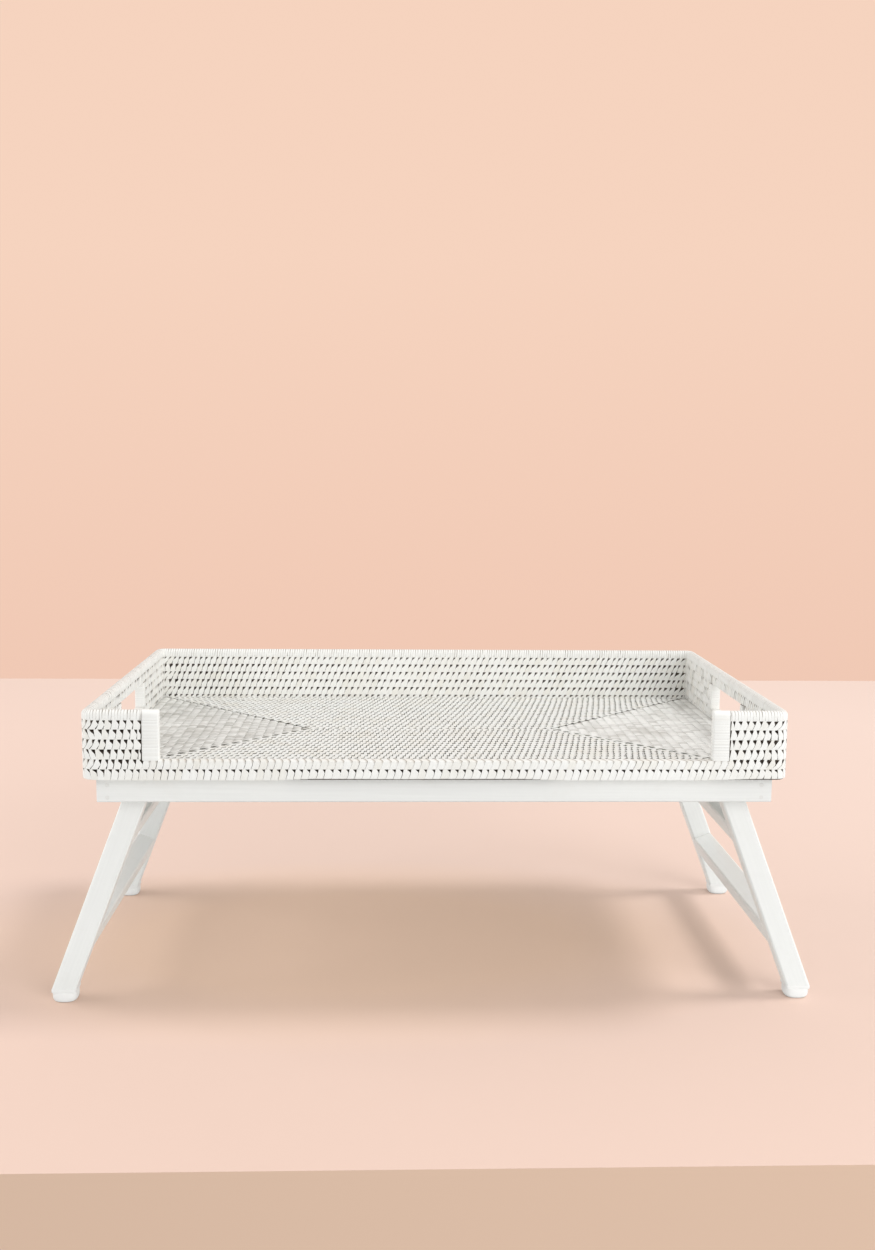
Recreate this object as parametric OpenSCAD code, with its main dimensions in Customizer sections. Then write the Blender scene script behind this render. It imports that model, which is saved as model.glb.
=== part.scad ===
// Breakfast tray of cane-wrapped rattan rods on a painted wooden frame with two folding leg frames.
// Origin: on the surface below the middle of the tray. +X runs along the tray, +Y to its back, +Z up.

/* [Tray] */
// Length of the tray over the rim
tray_l = 606; // [480:1:700]
// Depth of the tray over the rim
tray_w = 365; // [300:1:420]
// Outer radius of the corners, no tighter than a rod bends
corner_r = 10.5; // [10.5:0.5:40]
// Height of the tray's underside above the surface
stand_h = 210; // [180:1:240]

/* [Wall] */
// Height of one wrapped rod in the wall
rod_h = 8.6; // [7.5:0.1:10]
// Thickness of the wall
rod_w = 9; // [8.2:0.1:9.6]
// Diameter that a wrapped rod is rounded to
rod_round = 10; // [9.9:0.1:12]
// Diameter of the rim
rim_d = 10; // [9.8:0.1:12]
// Height of the rim above the last rod
rim_h = 9; // [8:0.1:9.5]

/* [Front opening and handles] */
// Clear width between the two posts of the front opening
opening_w = 473; // [300:1:520]
// Width of a post
post_w = 14.5; // [10:0.5:20]
// Thickness of the posts and handle ends
post_t = 9.6; // [8:0.1:9.7]
// Length of a handle slot
slot_l = 110; // [80:1:160]
// Width of the wrapped end of a handle slot
slot_end_w = 9; // [6:0.5:14]

/* [Floor] */
// Thickness of the floor mat over its rods
mat_t = 7.5; // [6.5:0.1:9]
// Rods from the edge of the mat to its middle line
mat_rods = 20; // [16:1:24]
// Radius of the rods in the mat
mat_rod_r = 4.6; // [4.5:0.1:6]

/* [Frame] */
// Thickness of the four rails
rail_t = 18; // [16:0.5:24]
// Height of the four rails
rail_h = 22; // [20:0.5:28]
// How far the rails stand in from the wall's outer face
rail_inset = 11; // [6:0.5:12]
// How much the sawn edges are eased
edge_ease = 1; // [0.4:0.1:1.6]
// Diameter of the frame nails
nail_d = 1.8; // [1.4:0.1:2.6]
// Length of the frame nails
nail_l = 40; // [30:1:50]
// Diameter of the screws between frame and mat
screw_d = 3.5; // [3:0.1:4.5]
// Diameter of the heads of the screws between frame and mat
screw_head_d = 7; // [6:0.1:9]
// How far those screws bite into the mat
screw_bite = 3.5; // [2.5:0.1:4]
// Distance between those screws
screw_spacing = 200; // [120:1:220]

/* [Leg frames] */
// Angle that the open legs make with the vertical
splay = 20.8; // [14:0.1:26]
// Width of a leg in the plane of the splay
leg_w = 20; // [16:0.5:22]
// Width of a leg along the pivot
leg_t = 20; // [16:0.5:24]
// Depth of the pivot below the underside of the tray
pivot_drop = 13; // [12.2:0.1:14]
// Gap between a leg and its rail
leg_gap = 1; // [0.8:0.1:2]
// Gap between an open leg and the rail that stops it
stop_gap = 0.3; // [0.2:0.1:0.6]
// Distance from the pivot to the upper crossbar, along the leg
crossbar_at = 47; // [38:1:60]
// Height of the upper crossbar, along the leg
crossbar_h = 18; // [14:0.5:22]
// Distance from the pivot to the stretcher, along the leg
stretcher_at = 148; // [110:1:160]
// Height of the stretcher, along the leg
stretcher_h = 20; // [16:0.5:24]
// Diameter of the dowels
dowel_d = 8; // [6:0.5:10]
// Length of the dowels
dowel_l = 30; // [20:1:34]

/* [Feet] */
// Height of a foot
foot_h = 12; // [8:0.5:16]
// Width of a foot in the plane of the splay
foot_w = 22; // [18:0.5:24]
// Width of a foot along the pivot
foot_t = 21; // [18:0.5:25]
// Bevel round the underside of a foot
foot_bevel = 2; // [1:0.5:4]
// Diameter of the peg on a foot
peg_d = 6; // [4:0.5:8]
// Length of the peg on a foot
peg_l = 10; // [6:1:14]

/* [Pivots] */
// Diameter of the pivot screws
pivot_d = 5; // [4:0.1:6]
// Diameter of the heads of the pivot screws
pivot_head_d = 11; // [9:0.5:14]
// Height of the heads of the pivot screws
pivot_head_h = 3; // [2:0.5:4]
// Depth of the pivot screws in the rail
pivot_bite = 12; // [8:0.5:14]
// Diameter of the washers
washer_d = 14; // [11:0.5:17]

/* [Hidden] */
$fn = 48;

// Rods in the wall below the rim, below the front opening and beside a handle slot
wall_rods = 6;
low_rods = 2;
slot_rods = 3;
// Tightest outer radius that a rod bends to, as a share of its thickness
tightest = 1.05;
// Chamfer of the mat beyond the inner radius of the first rod's corners
mat_chamfer = 0.5;
// Reach of a leg's round head beyond half the leg's width, so that its arc meets the sides at an angle
head_over = 0.6;
// Radius of the dome on a pan head, as a share of the head's diameter
dome = 0.8;
// Clearance round a turning pin, and round a pin that is pressed or glued in
turn_clear = 0.06;
seat_clear = 0.05;
// Clearance on each side of a washer and under a screw head
face_clear = 0.1;
// Extra reach of every cutting solid past the face it cuts
past = 1;
// Nails below the top of the rail, as shares of its height
nail_rows = [0.3, 0.8];
// Screws along each long rail, either side of the middle one
screw_rows = [-1, 0, 1];

cane = [0.95, 0.93, 0.88];
paint = [0.94, 0.94, 0.92];
steel = [0.72, 0.72, 0.70];
beech = [0.80, 0.66, 0.48];
plastic = [0.93, 0.93, 0.91];

// Heights above the surface
rail_z = stand_h - rail_h;
pivot_z = stand_h - pivot_drop;
low_z = stand_h + low_rods * rod_h;
rim_z = stand_h + wall_rods * rod_h;

// The wall: all rods and the rim are level with each other on the outside
bend_r = max(corner_r, tightest * rim_d);
post_x = opening_w / 2 + post_w / 2;
wall_y = tray_w / 2 - rim_d / 2;
wall_x = tray_l / 2 - rim_d / 2;

// The mat fills the first rod's ring
mat_l = tray_l - 2 * rod_w;
mat_w = tray_w - 2 * rod_w;
mat_pitch = mat_w / 2 / mat_rods;
mat_corner = bend_r - rod_w + mat_chamfer;
mat_base = mat_t / 2;

// The frame: long rails front and back, end rails between them
rail_l = tray_l - 2 * rail_inset;
rail_y = tray_w / 2 - rail_inset - rail_t / 2;
rail_inner_y = rail_y - rail_t / 2;
end_rail_x = rail_l / 2 - rail_t / 2;
stop_x = end_rail_x - rail_t / 2;
nail_head_d = 2 * nail_d;
nail_head_h = 0.5 * nail_d;

// The leg frames turn about pivot_x: an open leg's outer face just clears the end rail's lower edge
pivot_x = stop_x - stop_gap - leg_w / 2 / cos(splay) - (pivot_z - rail_z) * tan(splay);
leg_head_r = leg_w / 2 + head_over;
leg_y = rail_inner_y - leg_gap - leg_t / 2;
leg_inner_y = leg_y - leg_t / 2;
foot_x = pivot_x + (pivot_z - foot_h) * tan(splay);
washer_t = leg_gap - 2 * face_clear;

// Sections

// Sawn timber section with its four edges eased
module eased_section(w, h) {
    intersection() {
        square([w, h], center = true);
        circle(r = norm([w, h]) / 2 - edge_ease);
    }
}

// Wrapped rod, flat where it lies on its neighbours
module rod_section() {
    intersection() {
        square([rod_w, rod_h], center = true);
        circle(d = rod_round);
    }
}

// Rim, round but for its seat on the last rod
module rim_section() {
    intersection() {
        translate([-rim_d, 0]) square([2 * rim_d, 2 * rim_d]);
        translate([0, rim_h - rim_d / 2]) circle(d = rim_d);
    }
}

// The tray's wall

// Sweeps a section round a rectangle of l by w with corners of radius r, all on the section's middle
module swept_ring(l, w, r) {
    for (side = [-1, 1]) {
        translate([0, side * w / 2, 0])
            rotate([90, 0, 90])
                linear_extrude(l - 2 * r, center = true) children();
        translate([side * l / 2, 0, 0])
            rotate([90, 0, 0])
                linear_extrude(w - 2 * r, center = true) children();
    }
    for (corner = [0 : 3])
        mirror([corner % 2, 0, 0])
            mirror([0, floor(corner / 2), 0])
                translate([l / 2 - r, w / 2 - r, 0])
                    rotate_extrude(angle = 90) translate([r, 0]) children();
}

// What the front opening takes out of the wall, out to the far sides of its posts
module front_opening_cut() {
    translate([-opening_w / 2 - post_w, -tray_w / 2 - past, -rod_h])
        cube([opening_w + 2 * post_w, tray_w / 2, 3 * rod_h]);
}

// What the two handle slots take out of the end walls, with room for their wrapped ends
module slot_cut() {
    translate([-tray_l / 2 - past, -slot_l / 2 - slot_end_w, -rod_h])
        cube([tray_l + 2 * past, slot_l + 2 * slot_end_w, 2 * rod_h]);
}

// Rod number k of the wall, counted from the floor up
module wall_rod(k) {
    color(cane)
        translate([0, 0, stand_h + (k - 0.5) * rod_h])
            difference() {
                swept_ring(tray_l - rod_w, tray_w - rod_w, bend_r - rod_w / 2) rod_section();
                if (k > low_rods) front_opening_cut();
                if (k > low_rods && k <= low_rods + slot_rods) slot_cut();
            }
}

module rim() {
    color(cane)
        translate([0, 0, rim_z])
            difference() {
                swept_ring(tray_l - rim_d, tray_w - rim_d, bend_r - rim_d / 2) rim_section();
                front_opening_cut();
            }
}

// Wrapped upright at a side of the front opening, rounded at its top as the rim is
module post(side) {
    post_h = rim_z + rim_h - low_z;
    color(cane)
        translate([side * post_x, -wall_y, low_z])
            intersection() {
                linear_extrude(post_h + past) eased_section(post_w, post_t);
                translate([-post_w, 0, 0])
                    rotate([90, 0, 90])
                        linear_extrude(2 * post_w) post_profile(post_h);
            }
}

module post_profile(post_h) {
    translate([-rim_d, 0]) square([2 * rim_d, post_h - rim_d / 2]);
    translate([0, post_h - rim_d / 2]) circle(d = rim_d);
}

// Wrapped end of a handle slot
module slot_end(side, back) {
    color(cane)
        translate([side * wall_x, back * (slot_l + slot_end_w) / 2, low_z])
            linear_extrude(slot_rods * rod_h) eased_section(post_t, slot_end_w);
}

// The floor mat

// Rods side by side, from the mat's edge to its middle line
module mat_section() {
    intersection() {
        square([mat_w / 2, mat_t + past]);
        union() {
            square([mat_w / 2, mat_base]);
            for (i = [0 : mat_rods - 1])
                translate([(i + 0.5) * mat_pitch, mat_t - mat_rod_r]) circle(r = mat_rod_r);
        }
    }
}

// Field with its rods along X, at the mat's front edge
module long_field() {
    intersection() {
        translate([0, -mat_w / 2, 0])
            rotate([90, 0, 90])
                linear_extrude(mat_l, center = true) mat_section();
        linear_extrude(mat_t + past)
            polygon([
                [-mat_l / 2 + mat_corner, -mat_w / 2],
                [mat_l / 2 - mat_corner, -mat_w / 2],
                [mat_l / 2 - mat_corner / 2, -mat_w / 2 + mat_corner / 2],
                [mat_l / 2 - mat_w / 2, 0],
                [mat_w / 2 - mat_l / 2, 0],
                [-mat_l / 2 + mat_corner / 2, -mat_w / 2 + mat_corner / 2]
            ]);
    }
}

// Field with its rods along Y, at the mat's left edge
module end_field() {
    intersection() {
        translate([-mat_l / 2, 0, 0])
            rotate([90, 0, 0])
                linear_extrude(mat_w, center = true) mat_section();
        linear_extrude(mat_t + past)
            polygon([
                [-mat_l / 2, -mat_w / 2 + mat_corner],
                [-mat_l / 2 + mat_corner / 2, -mat_w / 2 + mat_corner / 2],
                [mat_w / 2 - mat_l / 2, 0],
                [-mat_l / 2 + mat_corner / 2, mat_w / 2 - mat_corner / 2],
                [-mat_l / 2, mat_w / 2 - mat_corner]
            ]);
    }
}

module floor_mat() {
    color(cane)
        difference() {
            translate([0, 0, stand_h])
                for (turn = [0, 1]) {
                    mirror([0, turn, 0]) long_field();
                    mirror([turn, 0, 0]) end_field();
                }
            tray_screw_places() tray_screw(seat_clear);
        }
}

// The wooden frame

module front_rail() {
    long_rail(-1);
}

module rear_rail() {
    long_rail(1);
}

module long_rail(side) {
    color(paint)
        difference() {
            translate([0, side * rail_y, rail_z + rail_h / 2])
                rotate([90, 0, 90])
                    linear_extrude(rail_l, center = true) eased_section(rail_t, rail_h);
            nail_places() nail(seat_clear);
            tray_screw_places() tray_screw(seat_clear);
            for (end = [-1, 1]) pivot_places(end) pivot_screw(seat_clear, seat_clear);
        }
}

module end_rail(side) {
    color(paint)
        difference() {
            translate([side * end_rail_x, 0, rail_z + rail_h / 2])
                rotate([90, 0, 0])
                    linear_extrude(2 * rail_inner_y, center = true) eased_section(rail_t, rail_h);
            nail_places() nail(seat_clear);
        }
}

// Two nails through each long rail into the end of each end rail
module nail_places() {
    for (side = [-1, 1], back = [0, 1], row = nail_rows)
        mirror([0, back, 0])
            translate([side * end_rail_x, -tray_w / 2 + rail_inset, stand_h - row * rail_h])
                rotate([-90, 0, 0]) children();
}

// Nail with its head at the origin and its shank along +Z, fatter all round by the clearance
module nail(clear) {
    translate([0, 0, clear > 0 ? -past : 0])
        cylinder(d = nail_head_d + 2 * clear, h = nail_head_h + (clear > 0 ? past : 0), $fn = 24);
    cylinder(d = nail_d + 2 * clear, h = nail_l + clear, $fn = 24);
}

module frame_nails() {
    color(steel) nail_places() nail(0);
}

// Screws from below through the long rails into the mat
module tray_screw_places() {
    for (side = [-1, 1], row = screw_rows)
        translate([row * screw_spacing, side * rail_y, rail_z]) children();
}

// Countersunk screw with its head at the origin and its shank along +Z
module tray_screw(clear) {
    shank_r = screw_d / 2 + clear;
    head_r = screw_head_d / 2 + clear;
    rotate_extrude()
        polygon([
            [0, clear > 0 ? -past : 0],
            [head_r, clear > 0 ? -past : 0],
            [head_r, clear],
            [shank_r, head_r - shank_r + clear],
            [shank_r, rail_h + screw_bite + clear],
            [0, rail_h + screw_bite + clear]
        ]);
}

module tray_screws() {
    color(steel) tray_screw_places() tray_screw(0);
}

// The pivots

// Origin on the inner face of each leg of one frame, +Z out towards the rail
module pivot_places(side) {
    for (back = [-1, 1])
        translate([side * pivot_x, back * leg_inner_y, pivot_z])
            rotate([-90 * back, 0, 0]) children();
}

// Pan-head screw: its head stands off the leg, its shank runs through leg and washer into the rail
module pivot_screw(clear, end_clear) {
    shank_l = leg_t + leg_gap + pivot_bite;
    translate([0, 0, -face_clear - pivot_head_h])
        cylinder(d = pivot_d + 2 * clear, h = shank_l + face_clear + pivot_head_h + end_clear, $fn = 32);
    if (clear == 0)
        translate([0, 0, -face_clear - pivot_head_h])
            intersection() {
                cylinder(d = pivot_head_d, h = pivot_head_h);
                translate([0, 0, dome * pivot_head_d]) sphere(r = dome * pivot_head_d);
            }
}

module pivot_screws(side) {
    color(steel) pivot_places(side) pivot_screw(0, 0);
}

module washers(side) {
    color(plastic)
        pivot_places(side)
            translate([0, 0, leg_t + face_clear])
                difference() {
                    cylinder(d = washer_d, h = washer_t);
                    translate([0, 0, -past])
                        cylinder(d = pivot_d + 2 * turn_clear, h = washer_t + 2 * past, $fn = 32);
                }
}

// The leg frames

// Places a child that is drawn about a pivot, with the leg along -Z, on the left or right frame
module on_frame(side) {
    mirror([side < 0 ? 1 : 0, 0, 0])
        translate([pivot_x, 0, pivot_z])
            rotate([0, -splay, 0]) children();
}

// Side view of a leg: round head about the pivot, straight sides below it
module leg_outline(reach) {
    circle(r = leg_head_r);
    translate([-leg_w, -reach]) square([2 * leg_w, reach]);
}

module leg(side, back) {
    reach = (pivot_z + leg_w) / cos(splay);
    color(paint)
        difference() {
            intersection() {
                on_frame(side)
                    translate([0, back * leg_y, 0])
                        intersection() {
                            translate([0, 0, -reach])
                                linear_extrude(reach + 2 * leg_w) eased_section(leg_w, leg_t);
                            rotate([90, 0, 0])
                                linear_extrude(leg_t + 2 * past, center = true) leg_outline(reach);
                        }
                translate([-tray_l, -tray_w, foot_h]) cube([2 * tray_l, 2 * tray_w, stand_h]);
            }
            pivot_places(side) pivot_screw(turn_clear, past);
            dowel_places(side) dowel(seat_clear);
            foot_place(side, back) foot_peg(seat_clear);
        }
}

// Bar between the two legs of a frame, at a distance down the leg
module bar(side, down, h) {
    color(paint)
        difference() {
            on_frame(side)
                translate([0, 0, -down])
                    rotate([90, 0, 0])
                        linear_extrude(2 * leg_inner_y, center = true) eased_section(leg_w, h);
            dowel_places(side) dowel(seat_clear);
        }
}

// Middle of each dowel, where a bar meets a leg, with +Z along the dowel
module dowel_places(side) {
    on_frame(side)
        for (down = [crossbar_at, stretcher_at], back = [-1, 1])
            translate([0, back * leg_inner_y, -down])
                rotate([90, 0, 0]) children();
}

module dowel(clear) {
    cylinder(d = dowel_d + 2 * clear, h = dowel_l + 2 * clear, center = true, $fn = 32);
}

module dowels(side) {
    color(beech) dowel_places(side) dowel(0);
}

// The feet

module foot_place(side, back) {
    translate([side * foot_x, back * leg_y, 0]) children();
}

// Side view of a foot of width w, bevelled round its underside
module foot_profile(w) {
    polygon([
        [-w / 2, foot_h],
        [-w / 2, foot_bevel],
        [-w / 2 + foot_bevel, 0],
        [w / 2 - foot_bevel, 0],
        [w / 2, foot_bevel],
        [w / 2, foot_h]
    ]);
}

module foot_peg(clear) {
    translate([0, 0, foot_h - past])
        cylinder(d = peg_d + 2 * clear, h = peg_l + past + clear, $fn = 32);
}

module foot(side, back) {
    color(plastic)
        foot_place(side, back) {
            intersection() {
                linear_extrude(foot_h) eased_section(foot_w, foot_t);
                rotate([90, 0, 0]) linear_extrude(2 * foot_t, center = true) foot_profile(foot_w);
                rotate([90, 0, 90]) linear_extrude(2 * foot_w, center = true) foot_profile(foot_t);
            }
            foot_peg(0);
        }
}

wall_rod(1);  // wall_rod_1
wall_rod(2);  // wall_rod_2
wall_rod(3);  // wall_rod_3
wall_rod(4);  // wall_rod_4
wall_rod(5);  // wall_rod_5
wall_rod(6);  // wall_rod_6
rim();
post(-1);  // left_post
post(1);  // right_post
slot_end(-1, -1);  // left_front_slot_end
slot_end(-1, 1);  // left_rear_slot_end
slot_end(1, -1);  // right_front_slot_end
slot_end(1, 1);  // right_rear_slot_end
floor_mat();
front_rail();
rear_rail();
end_rail(-1);  // left_end_rail
end_rail(1);  // right_end_rail
frame_nails();
tray_screws();
pivot_screws(-1);  // left_pivot_screws
pivot_screws(1);  // right_pivot_screws
washers(-1);  // left_washers
washers(1);  // right_washers
leg(-1, -1);  // left_front_leg
leg(-1, 1);  // left_rear_leg
leg(1, -1);  // right_front_leg
leg(1, 1);  // right_rear_leg
bar(-1, crossbar_at, crossbar_h);  // left_crossbar
bar(1, crossbar_at, crossbar_h);  // right_crossbar
bar(-1, stretcher_at, stretcher_h);  // left_stretcher
bar(1, stretcher_at, stretcher_h);  // right_stretcher
dowels(-1);  // left_dowels
dowels(1);  // right_dowels
foot(-1, -1);  // left_front_foot
foot(-1, 1);  // left_rear_foot
foot(1, -1);  // right_front_foot
foot(1, 1);  // right_rear_foot
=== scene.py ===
import math

import bpy
import numpy as np
from mathutils import Euler, Matrix, Vector


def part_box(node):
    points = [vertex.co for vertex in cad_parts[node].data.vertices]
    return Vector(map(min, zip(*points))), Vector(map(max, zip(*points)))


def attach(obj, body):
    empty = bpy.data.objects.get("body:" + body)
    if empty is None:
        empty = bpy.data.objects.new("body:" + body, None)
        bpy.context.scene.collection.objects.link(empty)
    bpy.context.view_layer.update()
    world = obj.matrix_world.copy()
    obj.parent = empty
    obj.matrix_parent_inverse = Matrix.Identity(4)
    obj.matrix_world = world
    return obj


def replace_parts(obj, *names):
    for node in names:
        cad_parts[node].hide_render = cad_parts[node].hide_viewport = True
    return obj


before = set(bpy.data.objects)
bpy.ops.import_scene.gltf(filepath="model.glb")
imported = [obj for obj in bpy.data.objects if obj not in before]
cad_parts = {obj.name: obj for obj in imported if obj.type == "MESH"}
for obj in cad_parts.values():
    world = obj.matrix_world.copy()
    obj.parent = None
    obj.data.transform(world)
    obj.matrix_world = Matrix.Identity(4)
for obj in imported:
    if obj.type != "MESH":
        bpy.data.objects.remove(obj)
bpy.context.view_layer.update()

mm = 0.001


# Camera
# A view from a metre in front of the tray, 20 cm above its rim and a little to the left of its middle.
# The place, lens and tilt are those that bring the tray's outline and feet onto the photograph.

right_angle = math.pi / 2
view_place = (-40.8 * mm, -1262.3 * mm, 481.4 * mm)
view_down = math.radians(7.234)
view_right = math.radians(2.087)
view_roll = math.radians(0.516)
film_width = 36
focal_length = 37.26

camera_data = bpy.data.cameras.new("camera")
camera_data.sensor_width = film_width
camera_data.lens = focal_length
camera = bpy.data.objects.new("camera", camera_data)
camera.location = view_place
level_view = Euler((right_angle - view_down, 0, -view_right)).to_matrix()
camera.rotation_euler = (level_view @ Matrix.Rotation(view_roll, 3, "Z")).to_euler()
bpy.context.scene.collection.objects.link(camera)
bpy.context.scene.camera = camera


# Wall rods
# Six rattan rods bent round the tray, each lashed to the one below by a strip of whitened cane that goes
# over its own rod and between two turns of the next, so that a dark gap shows at every turn. The strips
# lean to and fro at the corners, and the lowest rod stands off the rail in places.

# the two lowest rods run all round, and the highest passes over the handle slots
wall_rows = 6
closed_rows = 2

# turns: their width in the middle of the tray's front and back and at its ends, and as shares of this
# width how far each row is shifted along the last and how close a turn may start to a cut end
turn_in_middle = 6.7 * mm
turn_at_ends = 5.75 * mm
towards_ends = 1.5
turn_shift = 0.44
turn_jitter = 0.06
cut_end_room = 0.35

# seams between the turns, and the share of the turns inside the end walls that lie loose
seam_in_middle = 0.16 * mm
seam_at_ends = 0.46 * mm
seam_in_corner = 0.5 * mm
seam_below = 0.3 * mm
seam_inside_ends = 1.4 * mm
seam_variation = 0.8
loose_share = 0.4

# gaps at the top of a turn, as shares of its width, and their height as a share of half the rod's
hole_in_middle = 0.43
hole_at_ends = 0.57
hole_in_corner = 0.36
hole_inside = 0.9
hole_height = 0.62
low_hole_height = 0.38
hole_taper = 0.65
hole_variation = 0.25

# how much bare cane shows along the edges of a turn and beside a gap
edge_wear = 0.1
hole_wear = 0.6

# the strip itself, how far it reaches to the rods above and below, and the rod inside
joint_rise = 1.0 * mm
joint_overlap = 0.3 * mm
strip_depth = 1.7 * mm
strip_crown = 0.12 * mm
strip_edge = 0.35 * mm
strip_bulge = 0.15 * mm
strip_settling = 0.12 * mm
core_sunk = 0.4 * mm
face_points = 7
edge_points = 3

# slant of the strips, as shift per height, and where it changes: in the corners, and in the turns
# beside an upright, which end just short of it
slant_middle = 0.30
slant_per_metre = 0.4
corner_slant = 0.5
corner_reach = 14.0 * mm
straight_turns = 1.5
short_of_upright = 0.28 * mm

# places where the lowest rod stands off the rail. At the front they are in the middle and on the right
gap_chance = np.random.default_rng(7541)
gap_below = 1.4 * mm
gap_fade = 0.4
gap_length = 70 * mm
gap_share = 0.55

# the tray's corners, and how far a direction has turned when it counts as a corner or as an end wall
corner_radius = 10.5 * mm
corner_points = 13
corner_turned = 0.05
end_turned = 0.9

# how finely a rod is measured along its length, and from which angle on an edge looks sharp
route_samples = 4000
sharp_edge = math.radians(50)

# colours, and the scale of the fibres across a strip, along it and from strip to strip
cane_white = (0.93, 0.93, 0.90)
cane_cream = (0.80, 0.76, 0.66)
cane_bare = (0.25, 0.185, 0.12)
cane_unevenness = 0.8
# the rod under the strips: nearly black, its own brown darkened as painted shade of the gaps
core_brown_and_gap_shade = (0.030, 0.022, 0.016)
core_contrast = 2.2
core_roughness = 0.8
core_blotches = 420.0
fibre_scale = (2600, 160, 90)
fibre_depth = 0.12 * mm
fibre_relief = 0.5
wash_patches = 26.0

chance = np.random.default_rng(7)
wall_low, wall_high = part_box("wall_rod_1")
rod_height = wall_high.z - wall_low.z
rod_width = wall_high.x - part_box("floor_mat")[1].x
rim_low, rim_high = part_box("rim")
opening_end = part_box("right_post")[1].x
slot_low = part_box("right_front_slot_end")[0].y
slot_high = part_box("right_rear_slot_end")[1].y


def node_tree(name):
    """A new material with its nodes, and its Principled shader"""
    material = bpy.data.materials.new(name)
    material.use_nodes = True
    return material, material.node_tree, material.node_tree.nodes["Principled BSDF"]


def add_node(tree, kind, **settings):
    """A shader node of the given kind. Settings are its own properties, or its inputs by number"""
    node = tree.nodes.new(kind)
    for key, value in settings.items():
        if key.startswith("input_"):
            node.inputs[int(key[6:])].default_value = value
        else:
            setattr(node, key, value)
    return node


def object_place(tree):
    """The place of a shaded point in the part's own coordinates"""
    return add_node(tree, "ShaderNodeTexCoord").outputs["Object"]


def stretched(tree, vector, scale):
    """A vector multiplied by a fixed one"""
    node = add_node(tree, "ShaderNodeVectorMath", operation="MULTIPLY", input_1=scale)
    tree.links.new(vector, node.inputs[0])
    return node.outputs[0]


def noise(tree, vector, scale, detail, roughness=0.5):
    """Even noise over a vector"""
    node = add_node(tree, "ShaderNodeTexNoise", input_2=scale, input_3=detail, input_4=roughness)
    tree.links.new(vector, node.inputs["Vector"])
    return node.outputs["Fac"]


def ramp(tree, source, low, high, to_low=0.0, to_high=1.0):
    """The output of a clamped linear map of a socket"""
    node = add_node(tree, "ShaderNodeMapRange", input_1=low, input_2=high, input_3=to_low, input_4=to_high)
    tree.links.new(source, node.inputs[0])
    return node.outputs[0]


def blend_colour(tree, factor, first, second, mode="MIX"):
    """The output of a colour mix. Each of the three may be a socket or a fixed value"""
    mix = add_node(tree, "ShaderNodeMix", data_type="RGBA", blend_type=mode)
    for socket, value in ((mix.inputs[0], factor), (mix.inputs[6], first), (mix.inputs[7], second)):
        if isinstance(value, bpy.types.NodeSocket):
            tree.links.new(value, socket)
        elif isinstance(value, tuple):
            socket.default_value = (*value, 1)
        else:
            socket.default_value = value
    return mix.outputs[2]


def shaded(tree, colour, brightness):
    """A colour multiplied by a brightness from a socket"""
    grey = add_node(tree, "ShaderNodeCombineColor")
    for channel in range(3):
        tree.links.new(brightness, grey.inputs[channel])
    return blend_colour(tree, 1.0, colour, grey.outputs[0], "MULTIPLY")


def add_relief(tree, shader, height, strength, depth):
    """Raises and sinks a surface a little, by a socket"""
    bump = add_node(tree, "ShaderNodeBump")
    bump.inputs["Strength"].default_value = strength
    bump.inputs["Distance"].default_value = depth
    tree.links.new(height, bump.inputs["Height"])
    tree.links.new(bump.outputs["Normal"], shader.inputs["Normal"])


def washed_cane(name, depth, unevenness, white, bare, thin=cane_cream):
    """Split cane under a thin white wash: fibres run along each strip, the wash is uneven from strip
    to strip, and the bare cane shows in the crevices"""
    material, tree, shader = node_tree(name)
    strip = add_node(tree, "ShaderNodeAttribute", attribute_name="strip").outputs["Vector"]
    crevice = add_node(tree, "ShaderNodeAttribute", attribute_name="crevice").outputs["Fac"]
    split = add_node(tree, "ShaderNodeSeparateXYZ")
    tree.links.new(strip, split.inputs[0])
    fibres = noise(tree, stretched(tree, strip, fibre_scale), 1.0, 3.0, 0.6)
    patches = noise(tree, object_place(tree), wash_patches, 3.0, 0.6)

    creamy = ramp(tree, split.outputs["Z"], 0.6, 1.0, 0.0, 0.4 * unevenness)
    patchy = ramp(tree, patches, 0.50, 0.80, 0.0, 0.5 * unevenness)
    wash = blend_colour(tree, creamy, white, thin)
    wash = blend_colour(tree, patchy, wash, thin)
    wash = shaded(tree, wash, ramp(tree, fibres, 0.30, 0.62, 0.90, 1.02))
    missing = ramp(tree, crevice, 0.15, 0.95)
    tree.links.new(blend_colour(tree, missing, wash, bare), shader.inputs["Base Color"])
    tree.links.new(ramp(tree, fibres, 0.3, 0.7, 0.48, 0.66), shader.inputs["Roughness"])
    add_relief(tree, shader, fibres, fibre_relief, depth)
    return material


def raw_rattan(name, colour):
    """The unpainted rod seen through the gaps, dull and blotchy in the colour given. A nearly black colour
    also paints the shade in the gaps
    """
    material, tree, shader = node_tree(name)
    blotches = ramp(tree, noise(tree, object_place(tree), core_blotches, 2.0), 0.35, 0.65)
    lighter = tuple(core_contrast * value for value in colour)
    tree.links.new(blend_colour(tree, blotches, colour, lighter), shader.inputs["Base Color"])
    shader.inputs["Roughness"].default_value = core_roughness
    return material


def ring_route(half_x, half_y, radius):
    """Outer outline of a rod, anticlockwise from the middle of the front. Its rows are distance, x, y
    and the outward direction's x and y"""
    bend = np.linspace(0, right_angle, corner_points)
    points = [(0, -half_y, 0, -1)]
    for corner, (side_x, side_y) in enumerate([(1, -1), (1, 1), (-1, 1), (-1, -1)]):
        centre = (side_x * (half_x - radius), side_y * (half_y - radius))
        for angle in bend + (corner - 1) * right_angle:
            out = (math.cos(angle), math.sin(angle))
            points.append((centre[0] + radius * out[0], centre[1] + radius * out[1], *out))
    points.append((0, -half_y, 0, -1))
    points = np.array(points)
    steps = np.hypot(*np.diff(points[:, :2], axis=0).T)
    distance = np.concatenate([[0], np.cumsum(steps)])
    return np.vstack([distance, points.T])


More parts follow.
